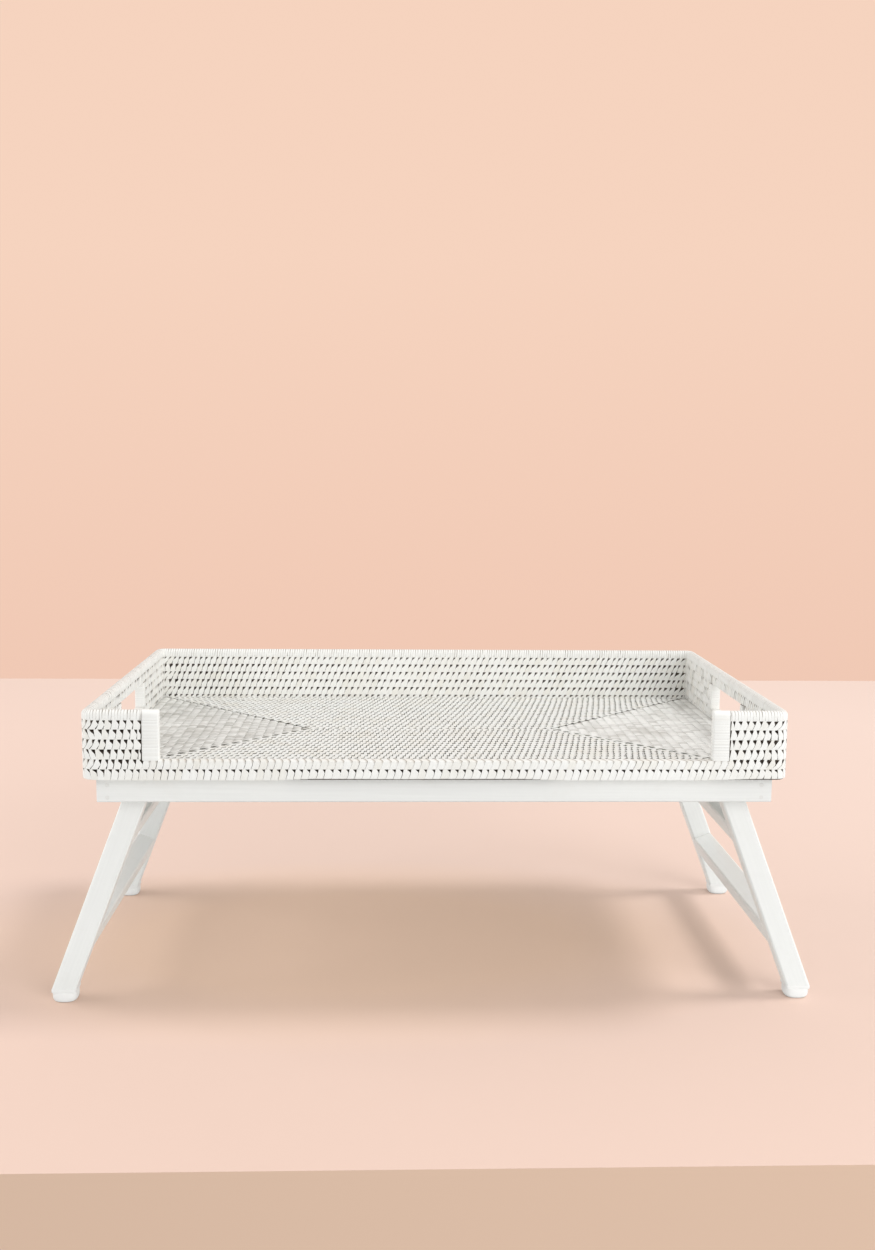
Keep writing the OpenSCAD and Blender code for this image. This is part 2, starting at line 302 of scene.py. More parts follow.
def as_points(x, y, z):
    """Points from coordinates that may have different shapes"""
    return np.stack(np.broadcast_arrays(x, y, z), axis=-1)


def round_the_tray(route, section_half, height):
    """Turns a distance along the route and a place in the section into a point of the tray"""
    def place(distance, out, up):
        length = route[0, -1]
        x, y, out_x, out_y = (np.interp(distance, route[0], row, period=length) for row in route[1:])
        inward = out - section_half
        return as_points(x + out_x * inward, y + out_y * inward, height + up)
    return place


def mirrors(place):
    """Whether a place function mirrors the rod, so that its faces would look inward"""
    distance, out, up = mm * np.array([(0, 1, 0, 0), (0, 0, 1, 0), (0, 0, 0, 1)])
    origin, further, outer, upper = place(distance, out, up)
    return np.dot(np.cross(further - origin, outer - origin), upper - origin) < 0


def rod_section(half_out, half_up, edge, bulge=0, beside=1):
    """Section of a wrapped rod, anticlockwise: a rectangle with rounded edges whose outer and inner faces
    bulge and have some points of their own"""
    face = np.linspace(-1, 1, beside + 2)[1:-1] * (half_up - edge)
    bend = np.linspace(0, right_angle, edge_points)
    corner_out, corner_up = half_out - edge + edge * np.cos(bend), half_up - edge + edge * np.sin(bend)
    out = np.concatenate([np.full(beside, half_out), corner_out, -corner_out[::-1],
                          np.full(beside, -half_out), -corner_out, corner_out[::-1]])
    up = np.concatenate([face, corner_up, corner_up[::-1], face[::-1], -corner_up, -corner_up[::-1]])
    return out - np.sign(out) * bulge * (up / half_up) ** 2, up


def wall_lattice(route):
    """Distances along a rod and how many turns lie before each: the turns are wider in the middle of the
    tray's front and back than at its ends"""
    distance = np.linspace(0, route[0, -1], route_samples)
    away = np.abs(np.interp(distance, route[0], route[1])) / route[1].max()
    width = turn_in_middle + (turn_at_ends - turn_in_middle) * away ** towards_ends
    count = np.concatenate([[0], np.cumsum(2 * np.diff(distance) / (width[1:] + width[:-1]))])
    return distance, count * round(count[-1]) / count[-1]


def even_lattice(reach, width):
    """Distances and turn numbers where all turns have the same width"""
    return np.array([-reach, reach]), np.array([-reach, reach]) / width


def turn_edges(start, end, lattice, phase, closed=False):
    """Where one turn of cane ends and the next begins, on a lattice that all rods share"""
    from_count, to_count = np.interp([start, end], *lattice)
    room = 0 if closed else cut_end_room
    first = math.ceil(from_count - phase + room)
    last = math.floor(to_count - phase - room)
    if closed and last + phase == to_count:
        last -= 1
    number = np.arange(first, last + 1) + phase
    number = number + chance.uniform(-turn_jitter, turn_jitter, len(number))
    inner = np.interp(number, lattice[1], lattice[0])
    if closed:
        return np.append(inner, inner[0] + end - start)
    return np.concatenate([[start], inner, [end]])


def wrap(place, edges, section, slant, hole, height, seam, depth, crown, rise=0, lift=0, wear=edge_wear,
         taper=hole_taper):
    """Turns of cane round a rod: points, faces, and the strip and crevice values of the points. Each turn
    goes once round the section, raised by crown along its middle, with edges that go down into the rod
    by depth. slant moves it along the rod by height. hole is the share of its width that it loses on one
    side at its top, height the part of the rod's half that this gap takes up, and taper how soon it
    narrows. seam is the room between turns, and both may be given per turn, for the outer and the inner
    face. rise and lift raise the top and the bottom of a turn, and wear bares its edges"""
    out, up = section
    size = np.hypot(out, up)
    middle = (edges[1:] + edges[:-1]) / 2
    width = np.diff(edges)
    count, steps = len(middle), len(out)
    across = np.array([-1.0, -1.0, 0.0, 1.0, 1.0])
    sunk = np.array([depth, crown, 0.0, crown, depth])
    beside_hole = np.array([0.0, 0.0, 0.0, 1.0, 1.0])
    worn = np.array([1, wear, 0, wear, 1])
    closing = np.clip(1 - (1 - up / up.max()) / height, 0, 1) ** taper
    shift = slant[:, None] * (up * np.clip(2 * out / out.max(), -1, 1))[None, :]

    inner = (1 - out / out.max()) / 2
    seam = seam * (1 + seam_variation * chance.uniform(-1, 1, (count, 1)))
    hole = hole * (1 + hole_variation * chance.uniform(-1, 1, (count, 1)))
    seam, hole = (values[:, :1] * (1 - inner) + values[:, 1:] * inner
                  for values in (np.broadcast_to(seam, (count, 2)), np.broadcast_to(hole, (count, 2))))
    half_width = (width[:, None] - seam)[:, :, None] / 2
    lost = (width[:, None] * hole * closing[None, :])[:, :, None] * beside_hole
    along = middle[:, None, None] + shift[:, :, None] + across * half_width - lost
    settled = strip_settling * chance.uniform(0, 1, count)[:, None, None]
    shrink = 1 - (sunk + settled) / size[None, :, None]
    raised = up + np.clip(up / up.max(), 0, 1) * np.broadcast_to(rise, count)[:, None]
    raised = raised + np.clip(-up / up.max(), 0, 1) * np.broadcast_to(lift, count)[:, None]
    points = place(along, out[None, :, None] * shrink, raised[:, :, None] * shrink)

    index = np.arange(count * steps * len(across)).reshape(count, steps, len(across))
    after = np.roll(index, -1, axis=1)
    quads = np.stack([index[..., :-1], after[..., :-1], after[..., 1:], index[..., 1:]], axis=-1)
    if mirrors(place):
        quads = quads[..., ::-1]

    tone = chance.uniform(0, 1, count)[:, None, None]
    girth = np.cumsum(np.hypot(*(np.roll(side_line, -1) - side_line for side_line in section)))
    strip = as_points(across * half_width, girth[None, :, None], tone)
    crevice = np.clip(worn + hole_wear * closing[None, :, None] * beside_hole, 0, 1)
    crevice = np.broadcast_to(crevice, index.shape)
    return points.reshape(-1, 3), quads.reshape(-1, 4), strip.reshape(-1, 3), crevice.ravel()


def rod_core(place, section, stations, closed=False):
    """The rod under the turns, swept along its stations and capped"""
    out, up = section
    points = place(stations[:, None] + 0 * out[None, :], out[None, :], up[None, :])
    index = np.arange(len(stations) * len(out)).reshape(len(stations), len(out))
    beside = np.roll(index, -1, axis=1)
    if closed:
        after, after_beside = np.roll(index, -1, axis=0), np.roll(beside, -1, axis=0)
        faces = np.stack([index, beside, after_beside, after], axis=-1).reshape(-1, 4).tolist()
    else:
        quads = np.stack([index[:-1], beside[:-1], beside[1:], index[1:]], axis=-1)
        faces = quads.reshape(-1, 4).tolist() + [index[0][::-1].tolist(), index[-1].tolist()]
    if mirrors(place):
        faces = [face[::-1] for face in faces]
    return points.reshape(-1, 3), faces


def woven_piece(name, turns, cores, materials):
    """One object of all turns and cores that are given, standing for the CAD node of that name"""
    points, faces, strip, crevice, kind = [], [], [], [], []
    start = 0
    for part_points, part_faces, part_strip, part_crevice in turns:
        points.append(part_points)
        faces += (part_faces + start).tolist()
        strip.append(part_strip)
        crevice.append(part_crevice)
        kind += [0] * len(part_faces)
        start += len(part_points)
    for part_points, part_faces in cores:
        points.append(part_points)
        faces += [[start + corner for corner in face] for face in part_faces]
        strip.append(np.zeros((len(part_points), 3)))
        crevice.append(np.zeros(len(part_points)))
        kind += [1] * len(part_faces)
        start += len(part_points)
    mesh = bpy.data.meshes.new(name)
    mesh.from_pydata(np.concatenate(points).tolist(), [], faces)
    for material in materials:
        mesh.materials.append(material)
    mesh.polygons.foreach_set("material_index", kind)
    mesh.attributes.new("strip", "FLOAT_VECTOR", "POINT").data.foreach_set(
        "vector", np.concatenate(strip).ravel())
    mesh.attributes.new("crevice", "FLOAT", "POINT").data.foreach_set("value", np.concatenate(crevice))
    mesh.shade_smooth()
    mesh.set_sharp_from_angle(angle=sharp_edge)
    mesh.update()
    piece = bpy.data.objects.new(name, mesh)
    bpy.context.scene.collection.objects.link(piece)
    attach(piece, "tray")
    return piece


def distance_at(route, x, y):
    """Distance along a route of the point nearest to x, y"""
    dense = np.linspace(0, route[0, -1], 2 * route_samples)
    at_x, at_y = (np.interp(dense, route[0], row) for row in route[1:3])
    return dense[np.argmin(np.hypot(at_x - x, at_y - y))]


def core_stations(route, start, end):
    """The route's own points between two distances, and the two ends"""
    inner = route[0][(route[0] > start + mm) & (route[0] < end - mm)]
    return np.concatenate([[start], inner, [end]])


def stretches(route, row):
    """The parts of a row that the front opening and the handle slots leave, as start and end"""
    length = route[0, -1]
    half_x, half_y = route[1].max(), route[2].max()
    if row <= closed_rows:
        return [(0, length)]
    right = distance_at(route, opening_end, -half_y)
    if row == wall_rows:
        return [(right, length - right)]
    low, high = distance_at(route, half_x, slot_low), distance_at(route, half_x, slot_high)
    return [(right, low), (high, length - high), (length - low, length - right)]


cane = washed_cane("whitened cane", fibre_depth, cane_unevenness, cane_white, cane_bare)
rattan = raw_rattan("dark rattan rod with painted gap shade", core_brown_and_gap_shade)

for row in range(1, wall_rows + 1):
    node = f"wall_rod_{row}"
    low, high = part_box(node)
    route = ring_route(high.x, high.y, corner_radius - (rim_high.x - high.x))
    place = round_the_tray(route, rod_width / 2, (low.z + high.z) / 2)
    section = rod_section(rod_width / 2, rod_height / 2, strip_edge, strip_bulge, face_points)
    core = rod_section(rod_width / 2 - strip_depth, rod_height / 2 - core_sunk, strip_edge)
    lattice = wall_lattice(route)
    closed = row <= closed_rows
    turns, cores = [], []
    for start, end in stretches(route, row):
        edges = turn_edges(start, end, lattice, row * turn_shift, closed)
        if not closed:
            edges[[0, -1]] += [short_of_upright, -short_of_upright]
        middle = (edges[1:] + edges[:-1]) / 2
        x, y, out_x, out_y = (np.interp(middle, route[0], line, period=route[0, -1]) for line in route[1:])
        in_corner = np.minimum(np.abs(out_x), np.abs(out_y)) > corner_turned
        end_wall = np.abs(out_x) > end_turned
        over_slot = np.abs(y) < slot_high

        # the strips lean more on the right, to and fro at the corners, and not at all beside an upright
        from_corner = np.maximum(np.maximum(high.x - np.abs(x), high.y - np.abs(y)) - corner_radius, 0)
        slant = slant_middle + slant_per_metre * x
        slant = slant + corner_slant * (-1) ** row * np.clip(1 - from_corner / corner_reach, 0, 1)
        if not closed:
            room = np.minimum(middle - start, end - middle) / (straight_turns * turn_at_ends)
            slant = slant * np.clip(room, 0, 1)

        # seams and gaps are wider towards the tray's ends
        away = (np.abs(x) / high.x) ** towards_ends
        seam = seam_in_middle + (seam_at_ends - seam_in_middle) * away
        seam[in_corner] = seam_in_corner
        hole = hole_in_middle + (hole_at_ends - hole_in_middle) * away
        hole[in_corner] = hole_in_corner
        rise = np.full(len(middle), joint_rise + joint_overlap)
        lift = np.where((row == wall_rows) & over_slot, 0, joint_rise)
        if row == 1:
            seam[:] = seam_below
            marks = np.arange(0, route[0, -1] + gap_length, gap_length)
            looseness = np.interp(middle, marks, gap_chance.uniform(0, 1, len(marks)))
            lift = gap_below * np.clip((looseness - 1 + gap_share) / gap_fade, 0, 1)
        if row == closed_rows:
            # nothing is lashed to this rod at the front opening and under the slots
            free_top = (y < 0) & (np.abs(x) < opening_end) | over_slot
            hole[free_top] = 0
            rise[free_top] = 0

        # inside the end walls some turns lie loose and the others close up
        loose = chance.uniform(0, 1, len(middle)) < loose_share
        seam = np.column_stack([seam, np.where(end_wall & loose, seam_inside_ends, seam)])
        hole = np.column_stack([hole, np.where(end_wall & ~loose, 0, hole_inside * hole)])
        turns.append(wrap(place, edges, section, slant, hole, low_hole_height if row == 1 else hole_height,
                          seam, strip_depth, strip_crown, rise, lift))
        stations = core_stations(route, start, end)
        cores.append(rod_core(place, core, stations[:-1] if closed else stations, closed))
    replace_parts(woven_piece(node + "_woven", turns, cores, [cane, rattan]), node)


# Rim
# A thicker rattan rod on top of the wall, bound with a narrow strip of cane whose turns lie close against
# each other. It runs from one side of the front opening round the back to the other.

# most seams are closed up and a few stand open, the fewer the greater their rarity
binding_pitch = 2.6 * mm
binding_seam = 0.08 * mm
open_seam = 0.35 * mm
open_seam_rarity = 4
binding_crown = 0.07 * mm
binding_depth = 0.6 * mm
binding_fibres = 0.05 * mm
binding_unevenness = 0.25
binding_slant = 0.06
binding_slant_spread = 0.02
bound_core = (0.20, 0.17, 0.13)
rim_points = 20
rim_foot_fullness = 0.25

binding = washed_cane("cane binding", binding_fibres, binding_unevenness, cane_white, cane_bare)
bound_rattan = raw_rattan("washed rod under the binding", bound_core)

rim_radius = rim_high.x - wall_high.x + rod_width / 2
rim_middle = rim_high.z - rim_radius
route = ring_route(rim_high.x, rim_high.y, corner_radius)
place = round_the_tray(route, rim_radius, rim_middle)


def rim_section(radius, foot):
    """Round on top, and fuller below, where it is flat against the wall"""
    angle = (np.arange(rim_points) + 0.5) / rim_points * 2 * np.pi
    out, up = np.cos(angle), np.sin(angle)
    fuller = np.where(up < 0, rim_foot_fullness, 1.0)
    out, up = np.sign(out) * np.abs(out) ** fuller, np.sign(up) * np.abs(up) ** fuller
    return out * radius, np.maximum(up * radius, foot)


section = rim_section(rim_radius, rim_low.z - rim_middle)
core = rim_section(rim_radius - binding_depth, rim_low.z - rim_middle + binding_depth)
start, end = stretches(route, wall_rows)[0]
edges = turn_edges(start, end, even_lattice(end, binding_pitch), 0)
slant = binding_slant + chance.normal(0, binding_slant_spread, len(edges) - 1)
seam = binding_seam + open_seam * chance.uniform(0, 1, (len(edges) - 1, 1)) ** open_seam_rarity
rim_turns = wrap(place, edges, section, slant, 0, 1, seam, binding_depth, binding_crown)
rim_core = rod_core(place, core, core_stations(route, start, end))
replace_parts(woven_piece("rim_bound", [rim_turns], [rim_core], [binding, bound_rattan]), "rim")


# Posts and slot ends
# Flat wooden uprights that close the wall's cut ends, at the front opening and at both ends of each handle
# slot. They are bound like the rim, with level turns. The posts are rounded over and capped with cane.

# the cap starts where this share of the rounding is bound
upright_edge = 0.9 * mm
cap_start = 0.3
cap_steps = 12
core_steps = 14
nearly_top = 0.999
half_turn = 0.5


def upright(node, rounded_top):
    """Binds an upright from its foot to its top, or to a smooth cap of cane where the top is rounded"""
    low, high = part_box(node)
    middle = (low + high) / 2
    height = high.z - low.z
    radius = (high.y - low.y) / 2
    shoulder = height - radius

    def place(distance, out, up):
        if rounded_top:
            beyond = np.clip((distance - shoulder) / radius, 0, nearly_top)
            up = up * np.sqrt(1 - beyond ** 2)
        return as_points(middle.x + out, middle.y + up, low.z + distance)

    half_x, half_y = (high.x - low.x) / 2, (high.y - low.y) / 2
    section = rod_section(half_x, half_y, upright_edge)
    core = rod_section(half_x - binding_depth, half_y - binding_depth, upright_edge)
    bound_to = shoulder + cap_start * radius if rounded_top else height
    edges = turn_edges(0, bound_to, even_lattice(height, binding_pitch), half_turn)
    level = np.zeros(len(edges) - 1)
    turns = wrap(place, edges, section, level, 0, 1, binding_seam, binding_depth, binding_crown)
    inside = rod_core(place, core, np.linspace(core_sunk, bound_to - core_sunk, core_steps))
    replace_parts(woven_piece(node + "_bound", [turns], [inside], [binding, bound_rattan]), node)
    if rounded_top:
        stations = bound_to + (height - bound_to) * np.sin(np.linspace(0, right_angle, cap_steps))
        cap = rod_core(place, section, stations)
        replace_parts(woven_piece(node + "_cap", [], [cap], [binding, binding]), node)


for node in ("left_post", "right_post"):
    upright(node, True)
for node in ("left_front_slot_end", "left_rear_slot_end", "right_front_slot_end", "right_rear_slot_end"):
    upright(node, False)


# Floor mat
# Four fields of rattan rods that meet in mitres, wrapped in whitened cane and lashed row to row like the
# wall. Each row runs parallel to its edge of the tray, and the gaps of its rows line up in slanting lines.

# rows and turns. The left and right fields, named end, have turns, shifts and bulges of their own
mat_rows = 20
mat_turn = 5.9 * mm
mat_turn_end = 5.6 * mm
mat_turn_growth = 0.00077 / mm
mat_shift = 0.385
mat_shift_end = 0.5
mat_depth = 1.3 * mm
mat_crown = 0.10 * mm
mat_bulge = 0.15 * mm
mat_bulge_end = 0.6 * mm
mat_overlap = 0.3 * mm
mat_face_points = 2

# seams and gaps of the front and rear fields, and of the left and right ones, which show small gaps
# and uneven seams
mat_seam = 0.4 * mm
mat_hole = 0.75
mat_hole_height = 0.9
mat_taper = 1.3
end_hole = 0.2
left_seam = 1.1 * mm
left_wear = 0.5
right_seam = 0.6 * mm
right_wear = 0.15

# the mitres: the gap between two fields, and how many turns beside it follow its slant
mitre_gap = 0.4 * mm
mitre_turns = 3

mat_white = (0.865, 0.87, 0.84)
mat_bare = (0.235, 0.225, 0.18)
mat_unevenness = 0.8
end_white = (0.93, 0.93, 0.90)
end_grey = (0.56, 0.55, 0.51)
end_unevenness = 1.5
# the rods under the mat's strips: nearly black, their own brown darkened as painted shade of the gaps
mat_core_and_gap_shade = (0.06, 0.05, 0.04)

mat_low, mat_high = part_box("floor_mat")
mat_row = mat_high.y / mat_rows
mat_radius = (mat_high.z - mat_low.z) / 2
mat_cane = washed_cane("whitened cane of the mat", fibre_depth, mat_unevenness, mat_white, mat_bare)
end_cane = washed_cane("unevenly whitened cane of the mat", fibre_depth, end_unevenness, end_white, mat_bare,
                       end_grey)
mat_gap_shaded_rattan = raw_rattan("rattan rods of the mat with painted gap shade", mat_core_and_gap_shade)


def mat_field(name, turned, side, squareness, hole, seam, wear, holes_inward=False):
    """One field of the mat: turned fields have their rods along Y. At the mitres the rods are cut at less
    than 45 degrees, by squareness, which leaves a small notch at each"""
    half_length = mat_high.y if turned else mat_high.x
    half_reach = mat_high.x if turned else mat_high.y
    bulge = mat_bulge_end if turned else mat_bulge
    section = rod_section(mat_radius, mat_row / 2, strip_edge, bulge, mat_face_points)
    core = rod_section(mat_radius - mat_depth, mat_row / 2 - mat_crown, strip_edge)
    last_row = 0 if holes_inward else mat_rows - 1
    turns, cores = [], []
    for row in range(mat_rows):
        lap = 0 if row == last_row else mat_overlap
        from_edge = (row + 0.5) * mat_row
        end = half_length - from_edge

        def place(distance, up, out, from_edge=from_edge, end=end, gap=mitre_gap, notch=squareness):
            out = -out if holes_inward else out
            inset = side * (half_reach - from_edge + out)
            height = mat_low.z + mat_radius + up
            reach = end - gap + out - notch * (out + mat_row / 2)
            distance = np.clip(distance, -reach, reach)
            level = (inset, distance) if turned else (distance, inset)
            return as_points(*level, height)

        def place_core(distance, up, out, place=place):
            return place(distance, up, out, gap=0, notch=0)

        longest = end + mat_row / 2
        if turned:
            width = mat_turn_end
            phase = mat_shift_end * row
        else:
            width = 1 / (1 / mat_turn - side * row * mat_turn_growth)
            phase = -side * mat_shift * row
        edges = turn_edges(-longest, longest, even_lattice(longest, width), phase)
        middle = (edges[1:] + edges[:-1]) / 2
        closeness = np.clip(1 - (longest - np.abs(middle)) / (mitre_turns * mat_turn), 0, 1)
        slant = np.sign(middle) * closeness
        turns.append(wrap(place, edges, section, slant, hole, mat_hole_height, seam, mat_depth, mat_crown,
                          lift=-lap, wear=wear, taper=mat_taper))
        cores.append(rod_core(place_core, core, np.array([-longest, longest])))
    return woven_piece(name, turns, cores, [end_cane if turned else mat_cane, mat_gap_shaded_rattan])


# name, whether the rods run along Y, side of the tray, squareness of the cuts, gaps, seams and wear
mat_pieces = [
    mat_field("floor_mat_front", False, -1, 0.38, mat_hole, mat_seam, edge_wear),
    mat_field("floor_mat_rear", False, 1, 0.3, mat_hole, mat_seam, edge_wear, holes_inward=True),
    mat_field("floor_mat_left", True, -1, 0.3, end_hole, left_seam, left_wear),
    mat_field("floor_mat_right", True, 1, 0.2, end_hole, right_seam, right_wear),
]
for piece in mat_pieces:
    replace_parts(piece, "floor_mat")


# Painted frame
# Softwood rails and square legs under several coats of white satin paint, laid on with a brush along
# the grain, so that faint strokes show in a raking light. The edges are sanded round.

splay = math.radians(20.8)
paint_white = (0.86, 0.87, 0.85)
paint_worn = (0.75, 0.74, 0.70)
brush_scale = (14, 520, 520)
brush_depth = 0.08 * mm
brush_relief = 0.35
worn_patches = 38.0


def painted_timber(name, tilt):
    """White paint brushed along the grain. tilt turns the grain from the X axis, as Euler angles"""
    material, tree, shader = node_tree(name)
    where = object_place(tree)
    along = add_node(tree, "ShaderNodeMapping", vector_type="TEXTURE")
    along.inputs["Rotation"].default_value = tilt
    tree.links.new(where, along.inputs["Vector"])
    strokes = noise(tree, stretched(tree, along.outputs[0], brush_scale), 1.0, 4.0, 0.55)
    thin = ramp(tree, noise(tree, where, worn_patches, 4.0, 0.65), 0.56, 0.80, 0.0, 0.25)
    colour = blend_colour(tree, thin, paint_white, paint_worn)
    colour = shaded(tree, colour, ramp(tree, strokes, 0.3, 0.7, 0.965, 1.0))
    tree.links.new(colour, shader.inputs["Base Color"])
    tree.links.new(ramp(tree, strokes, 0.3, 0.7, 0.30, 0.44), shader.inputs["Roughness"])
    add_relief(tree, shader, strokes, brush_relief, brush_depth)
    return material


def finish_node(node, material):
    """Gives a CAD node its material"""
    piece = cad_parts[node]
    piece.data.materials.clear()
    piece.data.materials.append(material)


paint_x = painted_timber("paint along rails", (0, 0, 0))
paint_y = painted_timber("paint along cross pieces", (0, 0, right_angle))
paint_left = painted_timber("paint on left legs", (0, right_angle + splay, 0))
paint_right = painted_timber("paint on right legs", (0, right_angle - splay, 0))
for node in ("front_rail", "rear_rail"):
    finish_node(node, paint_x)
for side, paint_leg in (("left", paint_left), ("right", paint_right)):
    for node in ("end_rail", "crossbar", "stretcher"):
        finish_node(f"{side}_{node}", paint_y)
    for node in ("front_leg", "rear_leg"):
        finish_node(f"{side}_{node}", paint_leg)


# Fastenings
# Zinc-plated steel: nails through the long rails, screws up into the mat, and the pan-head screws that
# the leg frames turn on. Washers of white nylon keep the legs off the rails, and beech dowels hold the bars.

zinc = (0.50, 0.56, 0.58)
nylon_white = (0.90, 0.90, 0.885)
beech_brown = (0.62, 0.44, 0.26)
nail_white = (0.84, 0.84, 0.815)
dullness_spread = 0.06


def speckled(name, colour, roughness, metallic=0.0, grain=900.0, contrast=0.12):
    """A plain finish with a fine unevenness of its own"""
    material, tree, shader = node_tree(name)
    speckles = noise(tree, object_place(tree), grain, 3.0)
    darker = tuple(value * (1 - contrast) for value in colour)
    tree.links.new(blend_colour(tree, speckles, darker, colour), shader.inputs["Base Color"])
    tree.links.new(ramp(tree, speckles, 0.3, 0.7, roughness - dullness_spread, roughness + dullness_spread),
                   shader.inputs["Roughness"])
    shader.inputs["Metallic"].default_value = metallic
    return material


steel = speckled("zinc-plated steel", zinc, 0.38, metallic=1.0)
nylon = speckled("white nylon", nylon_white, 0.45, grain=300.0, contrast=0.05)
beech = speckled("raw beech", beech_brown, 0.6, grain=500.0, contrast=0.3)
nail_paint = speckled("painted-over nail heads", nail_white, 0.5, grain=1500.0)
finish_node("frame_nails", nail_paint)
for node in ("tray_screws", "left_pivot_screws", "right_pivot_screws"):
    finish_node(node, steel)
for side in ("left", "right"):
    finish_node(f"{side}_washers", nylon)
    finish_node(f"{side}_dowels", beech)


# Feet
# Moulded white feet pegged into the sawn ends of the legs: a square collar as wide as the leg, a fine
# groove, and a rounder pad whose lower edge is turned in.

foot_points = 56
# height in mm, share of the full width, and how square the outline is
foot_sections = [
    (0.0, 0.74, 2.6), (0.25, 0.82, 2.6), (0.9, 0.90, 2.7), (2.0, 0.965, 2.8),
    (3.4, 1.0, 3.0), (8.0, 1.0, 3.4), (8.6, 0.985, 3.4), (9.0, 0.95, 4.5),
    (9.25, 0.985, 9.0), (9.6, 1.0, 10.0), (12.0, 1.0, 10.0),
]


def round_foot(node):
    """A foot built up from its outlines, from the table to the leg"""
    low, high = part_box(node)
    angle = np.arange(foot_points) / foot_points * 2 * np.pi
    circle = (np.cos(angle), np.sin(angle))
    points = []
    for height, share, square in foot_sections:
        across, deep = (np.sign(part) * np.abs(part) ** (2 / square) for part in circle)
        points += [((low.x + high.x) / 2 + share * (high.x - low.x) / 2 * a,
                    (low.y + high.y) / 2 + share * (high.y - low.y) / 2 * d, height * mm)
                   for a, d in zip(across, deep)]
    faces = [list(range(foot_points))[::-1], list(range(len(points) - foot_points, len(points)))]
    for start in range(0, len(points) - foot_points, foot_points):
        faces += [(start + k, start + (k + 1) % foot_points, start + foot_points + (k + 1) % foot_points,
                   start + foot_points + k) for k in range(foot_points)]
    mesh = bpy.data.meshes.new(node + "_moulded")
    mesh.from_pydata(points, [], faces)
    mesh.materials.append(nylon)
    mesh.shade_smooth()
    mesh.set_sharp_from_angle(angle=sharp_edge)
    foot = bpy.data.objects.new(node + "_moulded", mesh)
    bpy.context.scene.collection.objects.link(foot)
    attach(foot, node.split("_")[0] + "_legs")
    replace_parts(foot, node)


for side in ("left", "right"):
    for end in ("front", "rear"):
        round_foot(f"{side}_{end}_foot")


# Table and light
# A plain pale plinth that ends before a plain pale wall. Its top has painted light, brighter far off, and a
# painted warm shadow tint where the tray shades it, and its front face has painted shade. A soft sun from
# the upper right, a lamp in front on the right and one on the left. The colours show to the camera and in
# reflections only, so that they don't tint the white object.

table_front = -0.431
table_back = 1.565
table_half = 8.0
table_drop = -1.0
table_dullness = 0.9
table_shine = 0.2

# the plinth's colours. Its top has painted light, darker near left and brighter far right, where the lamps
# light it less, and a painted warm shadow tint under the tray
# painted shade: the plinth's front face is coloured darker than its top
plinth_side_painted_shade = (0.74, 0.53, 0.40)
table_near_painted_dim = (0.81, 0.60, 0.505)
table_far_painted_bright = (0.98, 0.76, 0.66)
painted_light_gradient = (1.0, 1.0, 0.0)
painted_light_start = -0.55
painted_light_end = 1.9
painted_shadow_colour = (0.91, 0.655, 0.505)
painted_shadow_reach = (0.44, 0.26)
painted_shadow_left = 0.08
bounce_colour = (0.79, 0.79, 0.78)

wall_colour = (0.92, 0.655, 0.52)
wall_colour_low = (0.875, 0.585, 0.46)
wall_gradient = (-0.16, 0.15)
sky_colour = (1.0, 1.0, 1.0)
sky_strength = 0.61

sun_direction = (-1.4, -0.1, -2.5)
sun_softness = math.radians(17)
sun_strength = 0.93
lamp_aim = Vector((0, 0, 0.15))
# name, place, width and power
lamps = [("front fill", (1.75, -2.6, 1.08), 2.2, 47), ("left fill", (-2.2, 0.1, 0.85), 1.8, 20)]


def seen_directly(tree):
    """1 for what the camera sees, also by way of a reflection or a clear material"""
    path = add_node(tree, "ShaderNodeLightPath")
    glossy = add_node(tree, "ShaderNodeMath", operation="MAXIMUM")
    clear = add_node(tree, "ShaderNodeMath", operation="MAXIMUM")
    tree.links.new(path.outputs["Is Camera Ray"], glossy.inputs[0])
    tree.links.new(path.outputs["Is Glossy Ray"], glossy.inputs[1])
    tree.links.new(glossy.outputs[0], clear.inputs[0])
    tree.links.new(path.outputs["Is Transmission Ray"], clear.inputs[1])
    return clear.outputs[0]


def top_colour(tree):
    """The colour of the plinth's top: painted light from near to far, and a painted shadow tint under the
    tray
    """
    where = object_place(tree)
    depth = add_node(tree, "ShaderNodeVectorMath", operation="DOT_PRODUCT", input_1=painted_light_gradient)
    tree.links.new(where, depth.inputs[0])
    # painted light: the top is coloured brighter further off, where the lamps light it less
    far = ramp(tree, depth.outputs["Value"], painted_light_start, painted_light_end)
    # painted shadow: a warmer colour in an oval under the tray, a little to the left, where its shadow falls
    spread = add_node(tree, "ShaderNodeVectorMath", operation="MULTIPLY_ADD")
    spread.inputs[1].default_value = (1 / painted_shadow_reach[0], 1 / painted_shadow_reach[1], 0)
    spread.inputs[2].default_value = (painted_shadow_left / painted_shadow_reach[0], 0, 0)
    tree.links.new(where, spread.inputs[0])
    away = add_node(tree, "ShaderNodeVectorMath", operation="LENGTH")
    tree.links.new(spread.outputs[0], away.inputs[0])
    painted_shadow_share = ramp(tree, away.outputs["Value"], 1.0, 0.5)
    return blend_colour(tree, painted_shadow_share, blend_colour(tree, far, table_near_painted_dim, table_far_painted_bright), painted_shadow_colour)


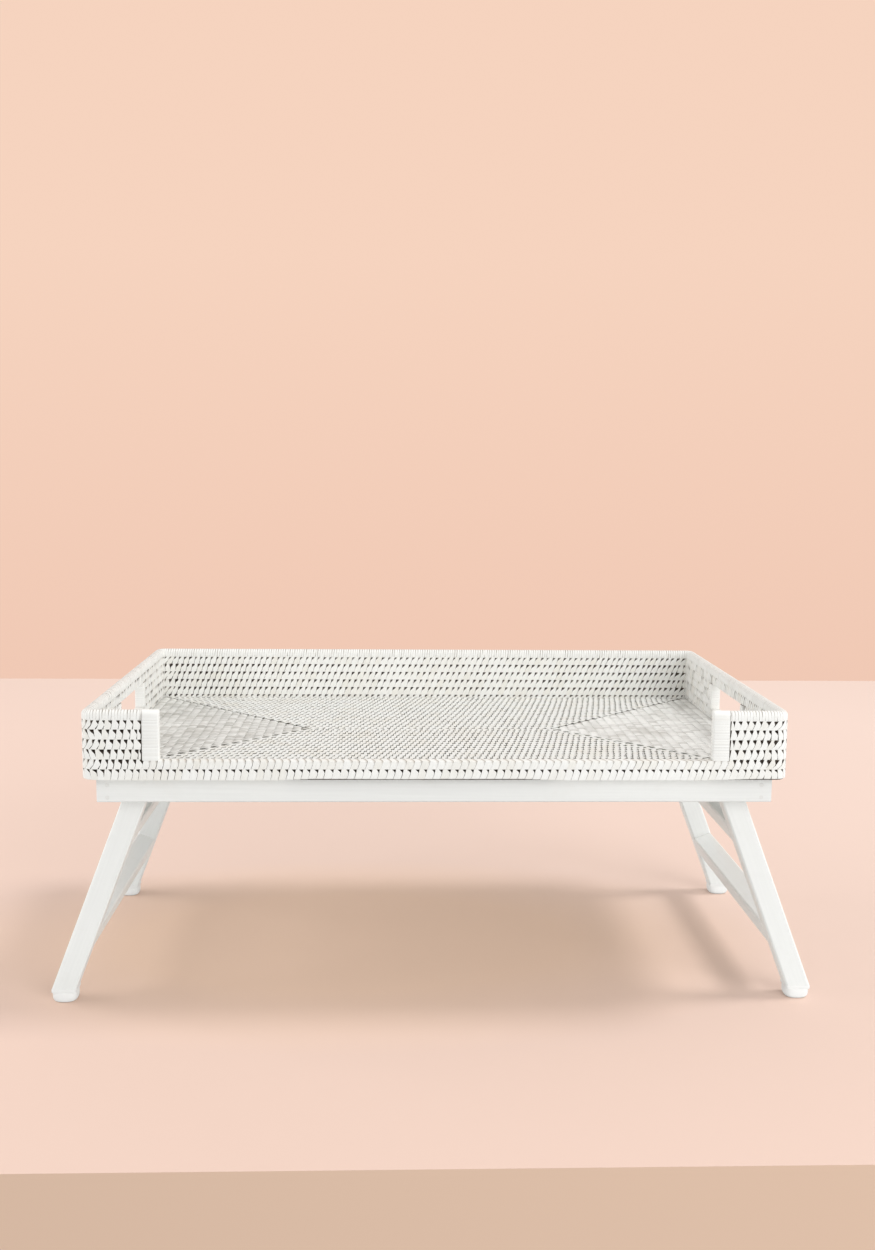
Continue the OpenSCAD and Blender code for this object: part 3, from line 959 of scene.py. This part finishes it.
table_mesh = bpy.data.meshes.new("table")
corners = [(side, *line) for line in ((table_front, table_drop), (table_front, 0), (table_back, 0))
           for side in (-table_half, table_half)]
table_mesh.from_pydata(corners, [], [(0, 1, 3, 2), (2, 3, 5, 4)])
table_mesh.polygons[1].material_index = 1
table = bpy.data.objects.new("table", table_mesh)
bpy.context.scene.collection.objects.link(table)
for name in ("plinth side with painted shade", "plinth top with painted light"):
    material, tree, shader = node_tree(name)
    colour = top_colour(tree) if name == "plinth top with painted light" else plinth_side_painted_shade
    colour = blend_colour(tree, seen_directly(tree), bounce_colour, colour)
    tree.links.new(colour, shader.inputs["Base Color"])
    shader.inputs["Roughness"].default_value = table_dullness
    shader.inputs["Specular IOR Level"].default_value = table_shine
    table_mesh.materials.append(material)

sun = bpy.data.lights.new("key", "SUN")
sun.angle = sun_softness
sun.energy = sun_strength
sun_holder = bpy.data.objects.new("key", sun)
sun_holder.rotation_euler = Vector(sun_direction).to_track_quat("-Z", "Y").to_euler()
bpy.context.scene.collection.objects.link(sun_holder)

for name, spot, width, power in lamps:
    lamp = bpy.data.lights.new(name, "AREA")
    lamp.size = width
    lamp.energy = power
    lamp_holder = bpy.data.objects.new(name, lamp)
    lamp_holder.location = spot
    aim = lamp_aim - lamp_holder.location
    lamp_holder.rotation_euler = aim.to_track_quat("-Z", "Y").to_euler()
    bpy.context.scene.collection.objects.link(lamp_holder)

world = bpy.data.worlds.new("studio")
world.use_nodes = True
bpy.context.scene.world = world
studio = world.node_tree
background = studio.nodes["Background"]
direct = seen_directly(studio)
direction = add_node(studio, "ShaderNodeTexCoord")
split = add_node(studio, "ShaderNodeSeparateXYZ")
studio.links.new(direction.outputs["Generated"], split.inputs[0])
up_the_wall = ramp(studio, split.outputs["Z"], *wall_gradient)
wall = blend_colour(studio, up_the_wall, wall_colour_low, wall_colour)
studio.links.new(blend_colour(studio, direct, sky_colour, wall), background.inputs["Color"])
studio.links.new(ramp(studio, direct, 0, 1, sky_strength, 1.0), background.inputs["Strength"])
bpy.context.scene.view_settings.view_transform = "Standard"
